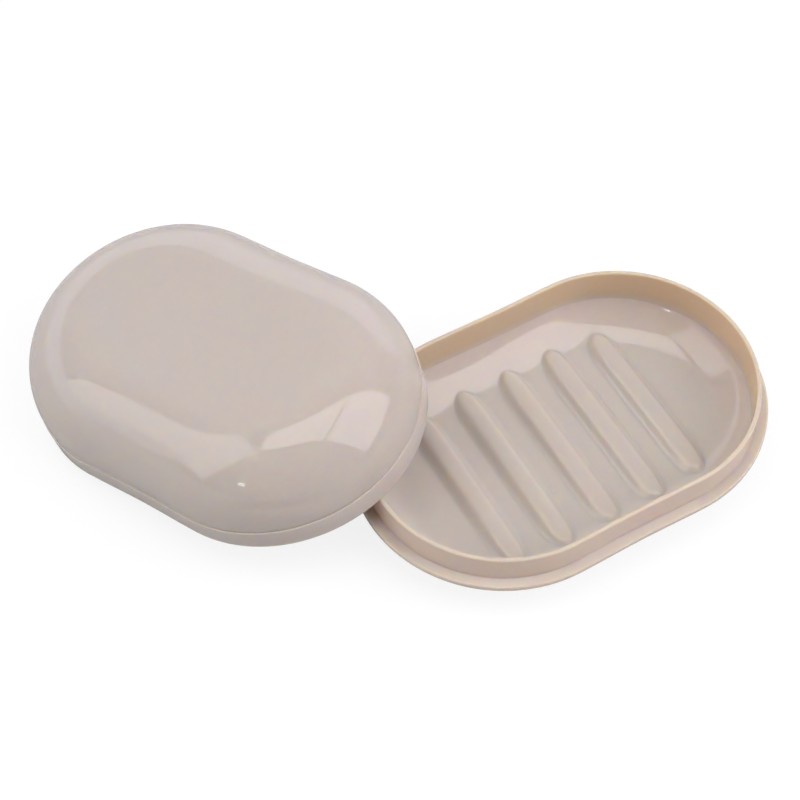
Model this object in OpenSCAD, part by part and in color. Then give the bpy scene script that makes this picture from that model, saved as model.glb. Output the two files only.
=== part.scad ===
// Travel soap box: an oval dish with drain ribs, and a domed lid that lifts off.
// The lid is shown taken off, leaning on the dish. The origin is the middle of the
// dish's underside, X runs along the dish, and Z = 0 is the table.

/* [Outline] */
// Length of the dish over its ledge
length = 120; // [104:1:140]
// Width of the dish over its ledge, at the round ends
width = 80.8; // [70:0.2:90]

/* [Dish] */
// Height of the ledge above the table
ledge_z = 14.4; // [12:0.2:20]
// Width of the ledge outside the lip
ledge_w = 3; // [2.4:0.1:5]
// Thickness of the ledge
ledge_t = 1.8; // [1.2:0.1:3]
// Height of the lip above the ledge
lip_h = 8.7; // [6:0.1:10]
// Thickness of the lip
lip_t = 1.3; // [1.1:0.1:2]
// Thickness of the dish's wall and floor
dish_t = 1.8; // [1.5:0.1:2.4]
// Height of the floor above the table
floor_z = 3.9; // [3:0.1:5]
// Height of the curved wall, from the floor to the upright inside of the lip
bowl_h = 8; // [5:0.1:8.5]
// Inner radius of the curved wall
bowl_r = 17.7; // [14:0.1:22]
// Radius on the lip's top edge
lip_round = 0.5; // [0.2:0.05:0.5]
// Radius on the ledge's edge
ledge_round = 0.5; // [0.2:0.05:0.55]
// Width of the ring on which the dish stands
foot_w = 1.5; // [1:0.1:3]
// Distance from the hollows under the ribs to the ring
foot_gap = 0.5; // [0.3:0.1:2]
// Radius on the ring's lower edges
foot_round = 0.4; // [0.2:0.05:0.45]

/* [Ribs] */
// Number of ribs across the floor
rib_count = 5; // [3:2:5]
// Distance from one rib to the next
rib_pitch = 14.5; // [12:0.1:16]
// Width of a rib at its foot, inside the blends
rib_w = 8.3; // [7.2:0.1:9.4]
// Height of a rib above the floor
rib_h = 2.5; // [2:0.1:4]
// Radius along a rib's crest
rib_round = 3.3; // [2:0.1:3.5]
// Radius of the blend at a rib's foot
rib_foot = 0.7; // [0.4:0.1:1.2]
// Distance from the dish's inner wall to a rib's tip
rib_end = 6.5; // [5:0.5:14]

/* [Lid] */
// Height of the lid
lid_h = 29.1; // [27:0.1:38]
// Thickness of the lid's wall
lid_t = 1.8; // [1.2:0.1:2.4]
// Clearance between the lip and the lid
lid_fit = 0.3; // [0.1:0.05:0.6]
// Height of the skirt below the line round the lid
skirt_h = 6.5; // [4:0.1:8]
// How far the skirt stands proud of the wall above the line
line_step = 0.3; // [0.2:0.05:0.6]
// Radius of the lid's shoulder
shoulder_r = 20; // [12:0.5:22]
// Radius on the edges of the rim
rim_round = 0.4; // [0.2:0.05:0.5]

/* [Lid set down] */
// Direction of the lid's middle from the dish's middle
lid_side = 142.8; // [125:0.1:150]
// Direction in which the lid's long axis points
lid_turn = -65.5; // [-80:0.5:-50]
// Direction in which the lid rises
lean_dir = -36.8; // [-50:0.1:-30]
// How far the lid reaches over the lip
lid_over = 18.2; // [12:0.1:26]
// Gap left between the lid's rim and the lip
rest_gap = 0.25; // [0.1:0.05:0.3]

/* [Hidden] */
$fn = 96;
plastic = "#d8cac0";
bite = 0.02;
spare = 1;

// Outline: round ends of radius end_r about (end_x, 0) and (-end_x, 0), joined by straight sides
end_r = width / 2;
end_x = length / 2 - end_r;

// Radii at the round ends
lip_out = end_r - ledge_w;
dish_in = lip_out - lip_t;
skirt_in = lip_out + lid_fit;
dome_out = skirt_in + lid_t;
skirt_out = dome_out + line_step;
lip_top = ledge_z + lip_h;
floor_r = dish_in - sqrt(bowl_r * bowl_r - pow(bowl_r - bowl_h, 2));
rib_r = dish_in - rib_end;
core_r = rib_r - dish_t;
foot_r = core_r + foot_gap;
core_w = rib_w - 2 * dish_t;
core_round = max(rib_round - dish_t, 0.2);

// Lid set down: its place on the table, and the lean that brings its rim onto the lip
lip_mid = lip_out - lip_t / 2;
lid_reach = end_x * abs(cos(lid_turn - lid_side)) + skirt_out;
dish_reach = end_x * abs(cos(lid_side)) + lip_mid;
lid_apart = dish_reach + lid_reach - lid_over;
lid_xy = lid_apart * [cos(lid_side), sin(lid_side)];
low_reach = end_x * abs(cos(lid_turn - lean_dir)) + skirt_out;
lip_ring = [
    for (a = [90 : 0.25 : 270]) [lip_mid * cos(a) - end_x, lip_mid * sin(a), lip_top - lip_t / 2],
    for (x = [-end_x : 0.2 : 0], y = [-lip_mid, lip_mid]) [x, y, lip_top - lip_t / 2]
];
lean = lean_between(1, 45, 16);

// Half the width, at x, of the outline whose end radius is r
function half_width(x, r) = sqrt(r * r - pow(max(abs(x) - end_x, 0), 2));

// End radius of the outline that passes through (x, y)
function end_radius_at(x, y) = norm([max(abs(x) - end_x, 0), y]);

// Height of the middle of the lid's rim when it leans by t and its low edge is on the table
function rim_z(t) = (low_reach - rim_round) * sin(t) + rim_round * (1 - cos(t));

// A point of the room in the lid's own axes, when the lid leans by t
function in_lid(p, t) = let (
    d = p - [lid_xy[0], lid_xy[1], rim_z(t)],
    up = d[0] * cos(lean_dir) + d[1] * sin(lean_dir),
    across = d[1] * cos(lean_dir) - d[0] * sin(lean_dir),
    along = up * cos(t) + d[2] * sin(t),
    turn = lid_turn - lean_dir
) [
    along * cos(turn) + across * sin(turn),
    across * cos(turn) - along * sin(turn),
    d[2] * cos(t) - up * sin(t)
];

// Distance from a point in the lid's axes to the upright wall, whose rim edges are round
function to_wall(p) = let (
    x = abs(end_radius_at(p[0], p[1]) - (skirt_in + skirt_out) / 2) - (skirt_out - skirt_in) / 2,
    z = abs(p[2] - lid_h / 2) - lid_h / 2,
    e = rim_round
) norm([max(x + e, 0), max(z + e, 0)]) + min(max(x, z) + e, 0) - e;

// Least gap between the lid and the lip when the lid leans by t
function lip_gap(t) = min([for (p = lip_ring) to_wall(in_lid(p, t))]) - lip_t / 2;

// Lean between a and b that leaves rest_gap, by halving
function lean_between(a, b, n) = let (m = (a + b) / 2) n == 0
    ? b
    : lip_gap(m) < rest_gap ? lean_between(m, b, n - 1) : lean_between(a, m, n - 1);

// Quarter disc in the first quadrant
module quarter(r) {
    intersection() {
        circle(r);
        square(r);
    }
}

// Rectangle with round corners
module bar(w, h, r) {
    translate([r, 0]) square([w - 2 * r, h]);
    translate([0, r]) square([w, h - 2 * r]);
    for (x = [r, w - r], y = [r, h - r])
        translate([x, y]) circle(r);
}

// Rectangle from the axis with its lower outer corner round
module tub(w, h, r) {
    square([w - r, h]);
    translate([0, r]) square([w, h - r]);
    translate([w - r, r]) mirror([0, 1]) quarter(r);
}

// Carries a section, drawn outwards from the ends' centres, round a long outline along X
module carry_round(run) {
    for (turn = [0, 180])
        rotate([0, 0, turn]) translate([run, 0, 0]) rotate([0, 0, -90])
            rotate_extrude(angle = 180) children();
    rotate([90, 0, 90]) translate([0, 0, -run]) linear_extrude(2 * run) {
        children();
        mirror([1, 0]) children();
    }
}

// Inside of the bowl grown by t, up to the height top and out to the radius out
module bowl(t, out, top) {
    intersection() {
        translate([0, floor_z - t]) tub(floor_r + bowl_r + t, 2 * lip_top, bowl_r + t);
        square([out, top]);
    }
}

// Dish: wall, ledge, lip and the ring on which it stands
module dish_section() {
    difference() {
        union() {
            bowl(dish_t, dish_in + dish_t, ledge_z);
            translate([dish_in + dish_t / 2, ledge_z - ledge_t])
                bar(end_r - dish_in - dish_t / 2, ledge_t, ledge_round);
            translate([dish_in, ledge_z - ledge_t])
                bar(lip_t, lip_h + ledge_t, lip_round);
            translate([foot_r, 0]) bar(foot_w, floor_z + bowl_h, foot_round);
        }
        bowl(0, dish_in, lip_top + spare);
    }
}

// Half of a ridge's section, from its middle, with its upper corner round
module half_ridge(w, low, top, r) {
    translate([0, low]) square([w / 2 - r, top - low]);
    translate([0, low]) square([w / 2, top - low - r]);
    translate([w / 2 - r, top - r]) quarter(r);
}

// Half of a rib's section, down to the table, with the blend that leads from crest to floor
module rib_section() {
    crest = [rib_w / 2 - rib_round, floor_z + rib_h - rib_round];
    blend_z = floor_z + rib_foot;
    rise = max(blend_z - crest[1], 0);
    blend = [crest[0] + sqrt(pow(rib_round + rib_foot, 2) - rise * rise), blend_z];
    half_ridge(rib_w, 0, floor_z + rib_h, rib_round);
    difference() {
        polygon([[crest[0], 0], [blend[0], 0], blend, [crest[0], blend_z - rise]]);
        translate(blend) circle(rib_foot + bite);
    }
}

// Carries a section round each rib or hollow of width w, whose ends touch the outline of radius r
module at_ribs(w, r) {
    for (i = [0 : rib_count - 1]) {
        x = (i - (rib_count - 1) / 2) * rib_pitch;
        translate([x, 0, 0]) rotate([0, 0, 90]) carry_round(half_width(x, r - w / 2)) children();
    }
}

module base() {
    color(plastic) difference() {
        union() {
            carry_round(end_x) dish_section();
            // ribs, rooted halfway into the wall
            intersection() {
                at_ribs(rib_w, rib_r) rib_section();
                carry_round(end_x) bowl(dish_t / 2, dish_in, ledge_z);
            }
        }
        // hollow under each rib, so that the wall stays even
        at_ribs(core_w, core_r) half_ridge(core_w, -spare, floor_z + rib_h - dish_t, core_round);
    }
}

// Lid: dome and skirt
module lid_section() {
    difference() {
        union() {
            translate([0, lid_h]) mirror([0, 1]) tub(dome_out, lid_h - skirt_h / 2, shoulder_r);
            translate([skirt_in, 0]) bar(skirt_out - skirt_in, skirt_h, rim_round);
        }
        translate([0, lid_h - lid_t]) mirror([0, 1]) tub(skirt_in, lid_h, shoulder_r - lid_t);
    }
}

module lid() {
    color(plastic) translate([lid_xy[0], lid_xy[1], rim_z(lean)])
        rotate([0, 0, lean_dir]) rotate([0, -lean, 0]) rotate([0, 0, lid_turn - lean_dir])
            carry_round(end_x) lid_section();
}

base();
lid();
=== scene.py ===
# Travel soap box: a ribbed dish with an upright lip, and its domed lid set down against it.
import math

import bpy
from mathutils import Matrix, Vector


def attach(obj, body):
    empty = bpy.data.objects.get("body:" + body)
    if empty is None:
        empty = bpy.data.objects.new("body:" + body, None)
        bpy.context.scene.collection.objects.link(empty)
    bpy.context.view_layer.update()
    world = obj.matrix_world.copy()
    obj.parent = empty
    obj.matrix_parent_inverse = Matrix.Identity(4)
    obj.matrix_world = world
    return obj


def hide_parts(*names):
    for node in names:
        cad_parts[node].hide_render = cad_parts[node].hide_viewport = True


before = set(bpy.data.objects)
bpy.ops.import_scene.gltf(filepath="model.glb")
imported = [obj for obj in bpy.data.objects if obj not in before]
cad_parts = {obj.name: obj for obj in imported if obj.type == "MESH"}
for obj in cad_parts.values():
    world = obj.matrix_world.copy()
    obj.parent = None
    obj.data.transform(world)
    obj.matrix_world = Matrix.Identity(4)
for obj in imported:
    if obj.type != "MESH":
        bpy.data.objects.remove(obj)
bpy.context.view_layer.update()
mm = 0.001
print("frame loaded")


def selectOnly(obj):
    bpy.ops.object.select_all(action="DESELECT")
    obj.select_set(True)
    bpy.context.view_layer.objects.active = obj


def applyModifier(obj, kind, **settings):
    selectOnly(obj)
    modifier = obj.modifiers.new(kind.title(), kind)
    for key, value in settings.items():
        setattr(modifier, key, value)
    bpy.ops.object.modifier_apply(modifier=modifier.name)


def arcPoints(center, radius, start, end, count):
    # points of an arc, angles in degrees from the outward direction
    angles = [math.radians(start + (end - start) * i / count) for i in range(count + 1)]
    return [(center[0] + radius * math.cos(a), center[1] + radius * math.sin(a)) for a in angles]


def softened(corners):
    # a corner given as (out, up, radius) becomes a small arc
    done = []
    for i, corner in enumerate(corners):
        if len(corner) == 2:
            done.append(Vector(corner))
            continue
        here = Vector(corner[:2])
        before = (Vector(corners[i - 1][:2]) - here).normalized()
        after = (Vector(corners[i + 1][:2]) - here).normalized()
        half = before.angle(after) / 2
        middle = here + (before + after).normalized() * corner[2] / math.sin(half)
        startPoint = here + before * corner[2] / math.tan(half)
        endPoint = here + after * corner[2] / math.tan(half)
        steps = 3 if corner[2] < 0.4 else 5
        for k in range(steps + 1):
            spoke = (startPoint - middle).lerp(endPoint - middle, k / steps)
            done.append(middle + spoke.normalized() * corner[2])
    return done


def spunShell(name, section, endX, steps, cuts):
    # the section is drawn vertex by vertex, spun round one end and pulled to the middle; the caller
    # mirrors it
    bpy.ops.object.select_all(action="DESELECT")
    bpy.ops.mesh.primitive_plane_add(size=0.01)
    obj = bpy.context.object
    obj.name = name
    points = [Vector((endX * mm, p[0] * mm, p[1] * mm)) for p in section]
    bpy.ops.object.mode_set(mode="EDIT")
    bpy.ops.mesh.select_mode(type="VERT")
    bpy.ops.mesh.select_all(action="SELECT")
    bpy.ops.mesh.merge(type="CENTER")
    bpy.ops.transform.translate(value=points[0])
    for a, b in zip(points, points[1:]):
        bpy.ops.mesh.extrude_vertices_move(TRANSFORM_OT_translate={"value": b - a})
    bpy.ops.mesh.select_all(action="SELECT")
    bpy.ops.mesh.spin(steps=steps, angle=math.pi, center=(endX * mm, 0, 0), axis=(0, 0, 1))
    bpy.ops.mesh.select_all(action="SELECT")
    bpy.ops.mesh.remove_doubles(threshold=0.000002)
    bpy.ops.mesh.select_mode(type="EDGE")
    bpy.ops.mesh.select_non_manifold(
        extend=False, use_wire=False, use_boundary=True,
        use_multi_face=False, use_non_contiguous=False, use_verts=False)
    for i in range(cuts):
        bpy.ops.mesh.extrude_edges_move(TRANSFORM_OT_translate={"value": (-endX * mm / cuts, 0, 0)})
    bpy.ops.mesh.select_mode(type="VERT")
    bpy.ops.mesh.select_all(action="SELECT")
    bpy.ops.mesh.normals_make_consistent(inside=False)
    bpy.ops.object.mode_set(mode="OBJECT")
    return obj


def drawIn(obj, endX, outR, waist):
    # the long sides of the moulding are drawn in a little
    for vertex in obj.data.vertices:
        share = min(abs(vertex.co.x) / (endX * mm), 1)
        vertex.co.y *= 1 - waist / outR * math.cos(share * math.pi / 2) ** 2


def finishPiece(obj, angle):
    selectOnly(obj)
    bpy.ops.object.mode_set(mode="EDIT")
    bpy.ops.mesh.select_all(action="SELECT")
    bpy.ops.mesh.normals_make_consistent(inside=False)
    bpy.ops.object.mode_set(mode="OBJECT")
    bpy.ops.object.transform_apply(location=True, rotation=True, scale=True)
    bpy.ops.object.shade_smooth_by_angle(angle=math.radians(angle))
    print(obj.name, len(obj.data.vertices), "vertices")


# Dish
dish = {
    "endX": 19.6,
    "outR": 40.39,
    "lipOut": 37.4,
    "lipIn": 36.1,
    "lipTop": 23.1,
    "ledgeTop": 14.4,
    "ledgeLow": 12.6,
    "wall": 1.8,
    "floorZ": 3.9,
    "bowlR": 17.7,
    "bowlH": 8.0,
    "footIn": 28.3,
    "footOut": 29.8,
    "creaseRound": 0.8,
    "lipRound": 0.5,
    "ledgeRound": 0.5,
    "cornerRound": 0.3,
    "footRound": 0.4,
    "ringStep": 0.9,
    "steps": 112,
    "cuts": 22,
    "waist": 0.28,
    "ribTop": 12,
    "margin": 0.5,
}
ribs = {
    "places": [0, 14.5, 29],
    "width": 8.3,
    "height": 2.5,
    "crestRound": 8,
    "slope": 45,
    "footHalf": 4.45,
    "edge": 0.4,
    "reach": 29.6,
    "blend": 0.85,
    "taper": 0.38,
    "taperRun": 11,
    "fine": [(0.6, 5.6), (2.9, 5.1)],
    "hollow": 4.7,
    "hollowRound": 1.2,
}
d = dish
# middle of the curved wall's arc, as (out, up)
wallRun = math.sqrt(d["bowlR"] ** 2 - (d["bowlR"] - d["bowlH"]) ** 2)
wallC = (d["lipIn"] - wallRun, d["floorZ"] + d["bowlR"])
creaseAngle = math.degrees(math.asin((d["lipIn"] - wallC[0]) / d["bowlR"]))
outerR = d["bowlR"] + d["wall"]


def outerZ(r):
    # height of the wall's outer face
    return wallC[1] - math.sqrt(outerR ** 2 - (r - wallC[0]) ** 2)


def outerArc(fromR, toR, count):
    a = math.degrees(math.acos((fromR - wallC[0]) / outerR))
    b = math.degrees(math.acos((toR - wallC[0]) / outerR))
    return arcPoints(wallC, outerR, -a, -b, count)


rings = int(wallC[0] / d["ringStep"])
section = [(wallC[0] * i / rings, d["floorZ"]) for i in range(rings)]
outWall = d["lipIn"] + d["wall"]
bowlArc = arcPoints(wallC, d["bowlR"], -90, creaseAngle - 90, 18)
section += bowlArc[:-2]
section += softened([
    bowlArc[-2],
    (d["lipIn"], d["floorZ"] + d["bowlH"], d["creaseRound"]),
    (d["lipIn"], d["lipTop"], d["lipRound"]),
    (d["lipOut"], d["lipTop"], d["lipRound"]),
    (d["lipOut"], d["ledgeTop"], d["cornerRound"]),
    (d["outR"], d["ledgeTop"], d["ledgeRound"]),
    (d["outR"], d["ledgeLow"], d["ledgeRound"]),
    (outWall, d["ledgeLow"], d["cornerRound"]),
    (outWall, outerZ(outWall)),
])
section += outerArc(outWall, d["footOut"], 10)[1:]
section += softened([
    (d["footOut"], outerZ(d["footOut"])),
    (d["footOut"], 0, d["footRound"]),
    (d["footIn"], 0, d["footRound"]),
    (d["footIn"], outerZ(d["footIn"])),
])[1:]
section += outerArc(d["footIn"], wallC[0], 6)[1:]
section += [(wallC[0] * k, d["floorZ"] - d["wall"]) for k in (0.75, 0.5, 0.25, 0)]
dishObj = spunShell("dish", section, d["endX"], d["steps"], d["cuts"])
print("dish spun", len(dishObj.data.polygons))


def endRadius(x, y):
    # radius of the outline that passes through a point
    return math.hypot(max(abs(x) - dish["endX"], 0), y)


def bowlZ(x, y):
    out = max(endRadius(x, y) - wallC[0], 0)
    return wallC[1] - math.sqrt(max(dish["bowlR"] ** 2 - out ** 2, 0))


def ribDistance(x, y):
    # distance to the nearest rib's middle line
    x = abs(x)
    nearest = min(ribs["places"], key=lambda p: abs(x - p))
    tip = math.sqrt((ribs["reach"] - ribs["width"] / 2) ** 2 - max(nearest - dish["endX"], 0) ** 2)
    along = min(max((abs(y) - tip + ribs["taperRun"] - ribs["width"] / 2) / ribs["taperRun"], 0), 1)
    return math.hypot((x - nearest) / (1 - ribs["taper"] * along ** 2), max(abs(y) - tip, 0))


def ribZ(distance):
    # a domed crest between two sloped sides
    crest = dish["floorZ"] + ribs["height"] - distance ** 2 / (2 * ribs["crestRound"])
    side = dish["floorZ"] + (ribs["footHalf"] - distance) * math.tan(math.radians(ribs["slope"]))
    overlap = max(ribs["edge"] - abs(crest - side), 0)
    return min(crest, side) - overlap ** 2 / (4 * ribs["edge"])


def onInside(co):
    x, y, z = co.x / mm, co.y / mm, co.z / mm
    if endRadius(x, y) >= dish["lipIn"] - dish["margin"]:
        return False
    return bowlZ(x, y) - dish["margin"] < z < dish["ribTop"]


def refine(obj, low, high):
    # finer faces where a rib's side and foot will be
    selectOnly(obj)
    bpy.ops.object.mode_set(mode="EDIT")
    bpy.ops.mesh.select_mode(type="FACE")
    bpy.ops.mesh.select_all(action="DESELECT")
    bpy.ops.object.mode_set(mode="OBJECT")
    for polygon in obj.data.polygons:
        c = polygon.center
        polygon.select = onInside(c) and low < ribDistance(c.x / mm, c.y / mm) < high
    bpy.ops.object.mode_set(mode="EDIT")
    bpy.ops.mesh.subdivide(number_cuts=1)
    bpy.ops.mesh.select_mode(type="VERT")
    bpy.ops.object.mode_set(mode="OBJECT")


for low, high in ribs["fine"]:
    refine(dishObj, low, high)
for vertex in dishObj.data.vertices:
    if onInside(vertex.co):
        x, y = vertex.co.x / mm, vertex.co.y / mm
        low, high = bowlZ(x, y), ribZ(ribDistance(x, y))
        overlap = max(ribs["blend"] - abs(low - high), 0)
        vertex.co.z = (max(low, high) + overlap ** 2 / (4 * ribs["blend"])) * mm
print("ribs raised", len(dishObj.data.polygons))
applyModifier(dishObj, "MIRROR", use_axis=(True, False, False), merge_threshold=0.00001)


def ribHollow(x, reach, width, top, edge):
    # a pin with a round upper edge, pulled out into a bar that starts 1 mm below the table
    bpy.ops.object.select_all(action="DESELECT")
    run = math.sqrt((reach - width / 2) ** 2 - max(abs(x) - dish["endX"], 0) ** 2)
    bpy.ops.mesh.primitive_cylinder_add(
        vertices=32, radius=width / 2 * mm, depth=(top + 1) * mm,
        location=(x * mm, 0, (top - 1) / 2 * mm), rotation=(0, 0, math.pi / 32))
    obj = bpy.context.object
    bpy.ops.object.transform_apply(location=True, rotation=True, scale=True)
    bpy.ops.object.mode_set(mode="EDIT")
    bpy.ops.mesh.select_mode(type="EDGE")
    bpy.ops.mesh.select_all(action="DESELECT")
    bpy.ops.object.mode_set(mode="OBJECT")
    for rim in obj.data.edges:
        rim.select = all(obj.data.vertices[i].co.z > 0 for i in rim.vertices)
    bpy.ops.object.mode_set(mode="EDIT")
    bpy.ops.mesh.bevel(offset=edge * mm, segments=5)
    bpy.ops.mesh.select_mode(type="VERT")
    bpy.ops.object.mode_set(mode="OBJECT")
    for vertex in obj.data.vertices:
        vertex.co.y += math.copysign(run * mm, vertex.co.y)
    return obj


hollowTop = dish["floorZ"] + ribs["height"] - dish["wall"]
hollowReach = ribs["reach"] - dish["wall"]
for x in sorted({side * place for place in ribs["places"] for side in (-1, 1)}):
    cutter = ribHollow(x, hollowReach, ribs["hollow"], hollowTop, ribs["hollowRound"])
    applyModifier(dishObj, "BOOLEAN", operation="DIFFERENCE", solver="MANIFOLD", object=cutter)
    bpy.data.objects.remove(cutter)
print("hollows cut", len(dishObj.data.polygons))
drawIn(dishObj, dish["endX"], dish["outR"], dish["waist"])
finishPiece(dishObj, 40)


# Lid
lid = {
    "height": 29.1,
    "skirtIn": 37.7,
    "wallOut": 39.49,
    "skirtOut": 39.79,
    "skirtH": 6.5,
    "groove": 0.2,
    "grooveH": 0.35,
    "grooveTop": 0.55,
    "grooveRound": 0.05,
    "wallRound": 0.1,
    "stepRound": 0.12,
    "rimRound": 0.4,
    "wall": 1.8,
    "shoulder": 20,
    "steps": 112,
    "cuts": 12,
    "place": (-72.6589, 55.1511, 12.8077),
    "leanDir": -36.8,
    "lean": 13.0695,
    "turn": -65.5,
}
d = lid
top = d["height"]
center = (d["wallOut"] - d["shoulder"], top - d["shoulder"])
section = [(center[0] * k / 6, top) for k in range(6)]
section += arcPoints(center, d["shoulder"], 90, 0, 30)
section += softened([
    (d["wallOut"], center[1]),
    (d["wallOut"], d["skirtH"] + d["grooveTop"], d["wallRound"]),
    (d["wallOut"] - d["groove"], d["skirtH"] + d["grooveH"], d["grooveRound"]),
    (d["wallOut"] - d["groove"], d["skirtH"], d["grooveRound"]),
    (d["skirtOut"], d["skirtH"], d["stepRound"]),
    (d["skirtOut"], 0, d["rimRound"]),
    (d["skirtIn"], 0, d["rimRound"]),
    (d["skirtIn"], center[1]),
])[1:]
insideR = d["shoulder"] - d["wall"]
section += arcPoints((d["skirtIn"] - insideR, center[1]), insideR, 0, 90, 30)[1:]
section += [(center[0] * k, top - d["wall"]) for k in (0.66, 0.33, 0)]
lidObj = spunShell("lid", section, dish["endX"], d["steps"], d["cuts"])
print("lid spun", len(lidObj.data.polygons))
applyModifier(lidObj, "MIRROR", use_axis=(True, False, False), merge_threshold=0.00001)
drawIn(lidObj, dish["endX"], d["skirtOut"], dish["waist"])
lidObj.matrix_world = (
    Matrix.Translation(Vector(d["place"]) * mm)
    @ Matrix.Rotation(math.radians(d["leanDir"]), 4, "Z")
    @ Matrix.Rotation(math.radians(-d["lean"]), 4, "Y")
    @ Matrix.Rotation(math.radians(d["turn"] - d["leanDir"]), 4, "Z")
)
finishPiece(lidObj, 40)
dishObj.name = "dish_shell"
lidObj.name = "lid_shell"


# Plastic
plasticLook = {
    "color": (0.65, 0.597, 0.555, 1),
    "deep": (0.63, 0.573, 0.525, 1),
    "roughness": 0.01,
    "ior": 1.5,
    "scatter": (1.0, 0.62, 0.24),
    "scatterScale": 0.0034,
    "cloudScale": 22.0,
    "grainScale": 160.0,
    "grainStrength": 0.012,
    "grainDepth": 0.0004,
    # painted warm light shining through the lip, and where it falls
    "lipBacklitTone": (0.95, 0.89, 0.69, 1),
    "lipFrom": 0.0115,
    "lipFull": 0.0150,
    "lipFace": 0.0361,
    "lipCore": 0.0364,
    "lipOuterShare": 0.2,
}
# each piece's object, its node, its body, how much of the lip's painted backlight it takes, and the
# painted shade that darkens its colour
pieces = [
    (dishObj, "base", "base", 1.0, 1.0),
    (lidObj, "lid", "lid", 0.0, 0.95),
]


def node(tree, kind, **values):
    made = tree.nodes.new(kind)
    for key, value in values.items():
        if key in made.inputs:
            made.inputs[key].default_value = value
        else:
            setattr(made, key, value)
    return made


def ramp(tree, fromMin, fromMax, toMin, toMax):
    made = node(tree, "ShaderNodeMapRange", interpolation_type="SMOOTHSTEP")
    made.inputs["From Min"].default_value = fromMin
    made.inputs["From Max"].default_value = fromMax
    made.inputs["To Min"].default_value = toMin
    made.inputs["To Max"].default_value = toMax
    return made


def makePlastic(name, backlitShare, paintedShade):
    look = plasticLook
    plastic = bpy.data.materials.new(name)
    plastic.use_nodes = True
    tree = plastic.node_tree
    link = tree.links.new
    shader = tree.nodes["Principled BSDF"]
    coords = tree.nodes.new("ShaderNodeTexCoord")
    # faint clouds of colour
    cloud = node(tree, "ShaderNodeTexNoise", Scale=look["cloudScale"], Detail=2.0)
    mix = node(tree, "ShaderNodeMix", data_type="RGBA")
    # painted shade: each piece's colours are darkened by its factor, to make up for the light
    # falling on it
    mix.inputs["A"].default_value = [tone * paintedShade for tone in look["color"][:3]] + [1]
    mix.inputs["B"].default_value = [tone * paintedShade for tone in look["deep"][:3]] + [1]
    link(coords.outputs["Object"], cloud.inputs["Vector"])
    link(cloud.outputs["Fac"], mix.inputs["Factor"])
    # painted light shining through the thin lip: a warm colour above the crease, most of it on the
    # inner side
    backlitWarm = node(tree, "ShaderNodeMix", data_type="RGBA", blend_type="MULTIPLY")
    backlitWarm.inputs["B"].default_value = look["lipBacklitTone"]
    place = tree.nodes.new("ShaderNodeSeparateXYZ")
    past = node(tree, "ShaderNodeMath", operation="ABSOLUTE")
    over = node(tree, "ShaderNodeMath", operation="SUBTRACT")
    over.inputs[1].default_value = dish["endX"] * mm
    reach = node(tree, "ShaderNodeMath", operation="MAXIMUM")
    reach.inputs[1].default_value = 0.0
    flat = tree.nodes.new("ShaderNodeCombineXYZ")
    span = node(tree, "ShaderNodeVectorMath", operation="LENGTH")
    inner = ramp(tree, look["lipFace"], look["lipCore"], 1.0, look["lipOuterShare"])
    rise = ramp(tree, look["lipFrom"], look["lipFull"], 0.0, backlitShare)
    both = node(tree, "ShaderNodeMath", operation="MULTIPLY")
    link(coords.outputs["Object"], place.inputs[0])
    link(place.outputs["X"], past.inputs[0])
    link(past.outputs[0], over.inputs[0])
    link(over.outputs[0], reach.inputs[0])
    link(reach.outputs[0], flat.inputs["X"])
    link(place.outputs["Y"], flat.inputs["Y"])
    link(flat.outputs[0], span.inputs[0])
    link(span.outputs["Value"], inner.inputs["Value"])
    link(place.outputs["Z"], rise.inputs["Value"])
    link(rise.outputs["Result"], both.inputs[0])
    link(inner.outputs["Result"], both.inputs[1])
    link(both.outputs[0], backlitWarm.inputs["Factor"])
    link(mix.outputs["Result"], backlitWarm.inputs["A"])
    link(backlitWarm.outputs["Result"], shader.inputs["Base Color"])
    # a very fine ripple
    grain = node(tree, "ShaderNodeTexNoise", Scale=look["grainScale"], Detail=3.0)
    bump = node(tree, "ShaderNodeBump", Strength=look["grainStrength"], Distance=look["grainDepth"])
    link(coords.outputs["Object"], grain.inputs["Vector"])
    link(grain.outputs["Fac"], bump.inputs["Height"])
    link(bump.outputs["Normal"], shader.inputs["Normal"])
    shader.inputs["Roughness"].default_value = look["roughness"]
    shader.inputs["Subsurface Weight"].default_value = 1.0
    shader.inputs["Subsurface Radius"].default_value = look["scatter"]
    shader.inputs["Subsurface Scale"].default_value = look["scatterScale"]
    shader.inputs["IOR"].default_value = look["ior"]
    return plastic


for obj, cadNode, body, backlitShare, paintedShade in pieces:
    obj.data.materials.clear()
    obj.data.materials.append(makePlastic(cadNode + "_plastic", backlitShare, paintedShade))
    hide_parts(cadNode)
    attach(obj, body)
print("plastic on")


# Floor and light
room = {
    "floorSize": 8,
    "floorTone": 0.6,
    "floorGlow": 1.2,
    "floorShare": 0.3,
    "world": 0.12,
    "spotStrength": 10,
    "backStrength": 1.25,
    "backTopStrength": 0.26,
    "wingStrength": 1.4,
    "leftStrength": 2.1,
    "rightStrength": 2.9,
    "overStrength": 2.9,
}

bpy.ops.mesh.primitive_plane_add(size=room["floorSize"], location=(0, 0, 0))
floor = bpy.context.object
floor.name = "floor"
paper = bpy.data.materials.new("paper")
paper.use_nodes = True
tree = paper.node_tree
shader = tree.nodes["Principled BSDF"]
shader.inputs["Base Color"].default_value = (room["floorTone"],) * 3 + (1,)
shader.inputs["Roughness"].default_value = 0.9
shader.inputs["Specular IOR Level"].default_value = 0.0
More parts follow.
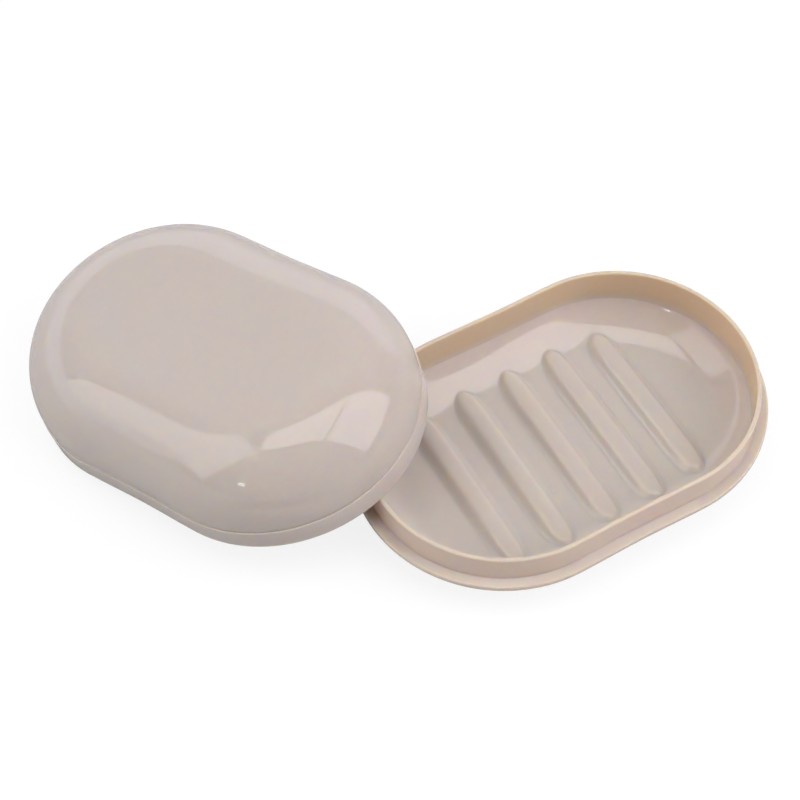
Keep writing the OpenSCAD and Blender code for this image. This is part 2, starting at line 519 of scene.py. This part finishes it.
# to the camera the paper glows as well, so that it is white but keeps a shadow
glow = node(tree, "ShaderNodeEmission", Strength=room["floorGlow"])
path = tree.nodes.new("ShaderNodeLightPath")
share = node(tree, "ShaderNodeMath", operation="MULTIPLY")
share.inputs[1].default_value = 1 - room["floorShare"]
blend = tree.nodes.new("ShaderNodeMixShader")
tree.links.new(path.outputs["Is Camera Ray"], share.inputs[0])
tree.links.new(share.outputs[0], blend.inputs[0])
tree.links.new(shader.outputs[0], blend.inputs[1])
tree.links.new(glow.outputs[0], blend.inputs[2])
tree.links.new(blend.outputs[0], tree.nodes["Material Output"].inputs["Surface"])
floor.data.materials.append(paper)


def panel(name, reach, corners, strength, color):
    # corners are given along the picture's right, away from the camera, and up
    bpy.ops.object.select_all(action="DESELECT")
    bpy.ops.mesh.primitive_plane_add(size=1)
    card = bpy.context.object
    card.name = name
    for vertex, (right, ahead, up) in zip((0, 1, 3, 2), corners):
        x = right * 0.8665 + ahead * 0.4992
        y = ahead * 0.8665 - right * 0.4992
        card.data.vertices[vertex].co = Vector((x, y, up)) * reach
    lamp = bpy.data.materials.new(name)
    lamp.use_nodes = True
    lampTree = lamp.node_tree
    lampTree.nodes.remove(lampTree.nodes["Principled BSDF"])
    emission = node(lampTree, "ShaderNodeEmission", Strength=strength, Color=color)
    lampTree.links.new(emission.outputs[0], lampTree.nodes["Material Output"].inputs["Surface"])
    card.data.materials.append(lamp)
    return card


leftPanel = panel("left_panel", 2, [
    (-1, -0.66, 0.15), (-1, 0.10, 0.25), (-1, 0.42, 1.57), (-1, -0.76, 2.03),
], room["leftStrength"], (1, 0.97, 0.95, 1))
# one long panel from low on the right to overhead, with a thin gap in it
rightLow = [Vector((1, -0.56, 0.14)), Vector((1, 0.19, 0.33))]
overMiddle = [Vector((0.08, -0.38, 1)), Vector((0.08, 0.14, 1))]
overEnd = [(-0.48, -0.30, 1), (-0.42, 0.13, 1)]
gapLow = [a.lerp(b, share) for a, b, share in zip(rightLow, overMiddle, (0.804, 0.796))]
gapHigh = [a.lerp(b, share) for a, b, share in zip(rightLow, overMiddle, (0.834, 0.826))]
rightPanel = panel("right_panel", 2, [rightLow[0], rightLow[1], gapLow[1], gapLow[0]],
                   room["rightStrength"], (1, 0.95, 0.98, 1))
nextPanel = panel("next_panel", 2, [gapHigh[0], gapHigh[1], overMiddle[1], overMiddle[0]],
                  room["overStrength"], (1, 0.96, 0.95, 1))
overPanel = panel("over_panel", 2, [overMiddle[0], overMiddle[1], overEnd[1], overEnd[0]],
                  room["overStrength"], (1, 0.96, 0.96, 1))
backdrop = panel("backdrop", 1, [
    (-1.8, 1.6, 0), (1.8, 1.6, 0), (1.8, 1.6, 1.0), (-1.8, 1.6, 1.0),
], room["backStrength"], (0.9, 0.91, 1, 1))
wing = panel("left_wing", 1, [
    (-1.8, -0.5, 0), (-1.8, 1.6, 0), (-1.8, 1.6, 0.9), (-1.8, -0.5, 0.5),
], room["wingStrength"], (0.8, 0.84, 1, 1))
backTop = panel("backdrop_top", 1, [
    (-1.8, 1.6, 1.0), (1.8, 1.6, 1.0), (1.8, 1.2, 2.8), (-1.8, 1.2, 2.8),
], room["backTopStrength"], (1, 1, 1, 1))
spot = panel("spot", 1, [
    (-0.81, -1.10, 0.42), (-0.72, -1.16, 0.42), (-0.72, -1.16, 0.52), (-0.81, -1.10, 0.52),
], room["spotStrength"], (1, 1, 1, 1))
# painted shade: a black card on the floor in front of the lid, seen in reflections alone, darkens
# what the pieces reflect there
reflectedShadeCard = panel("reflected_shade_card", 1, [
    (-0.35, -0.75, 0.001), (0.12, -0.75, 0.001), (0.06, -0.13, 0.001), (-0.16, -0.13, 0.001),
], 0, (0, 0, 0, 1))
reflectedShadeCard.visible_camera = False
reflectedShadeCard.visible_shadow = False
reflectedShadeCard.visible_diffuse = False

world = bpy.data.worlds.new("studio")
bpy.context.scene.world = world
world.use_nodes = True
sky = world.node_tree.nodes["Background"]
sky.inputs["Color"].default_value = (1, 1, 1, 1)
sky.inputs["Strength"].default_value = room["world"]
print("room lit")


# Camera
shot = {
    "place": (-0.18089, -0.22617, 0.44444),
    "tilt": 34.44,
    "turn": -29.95,
    "lens": 85.356,
    "sensor": 36,
}
bpy.ops.object.camera_add(
    location=shot["place"], rotation=(math.radians(shot["tilt"]), 0, math.radians(shot["turn"])))
camera = bpy.context.object
camera.data.lens = shot["lens"]
camera.data.sensor_width = shot["sensor"]
bpy.context.scene.camera = camera
bpy.context.scene.view_settings.view_transform = "Standard"

print("ready")
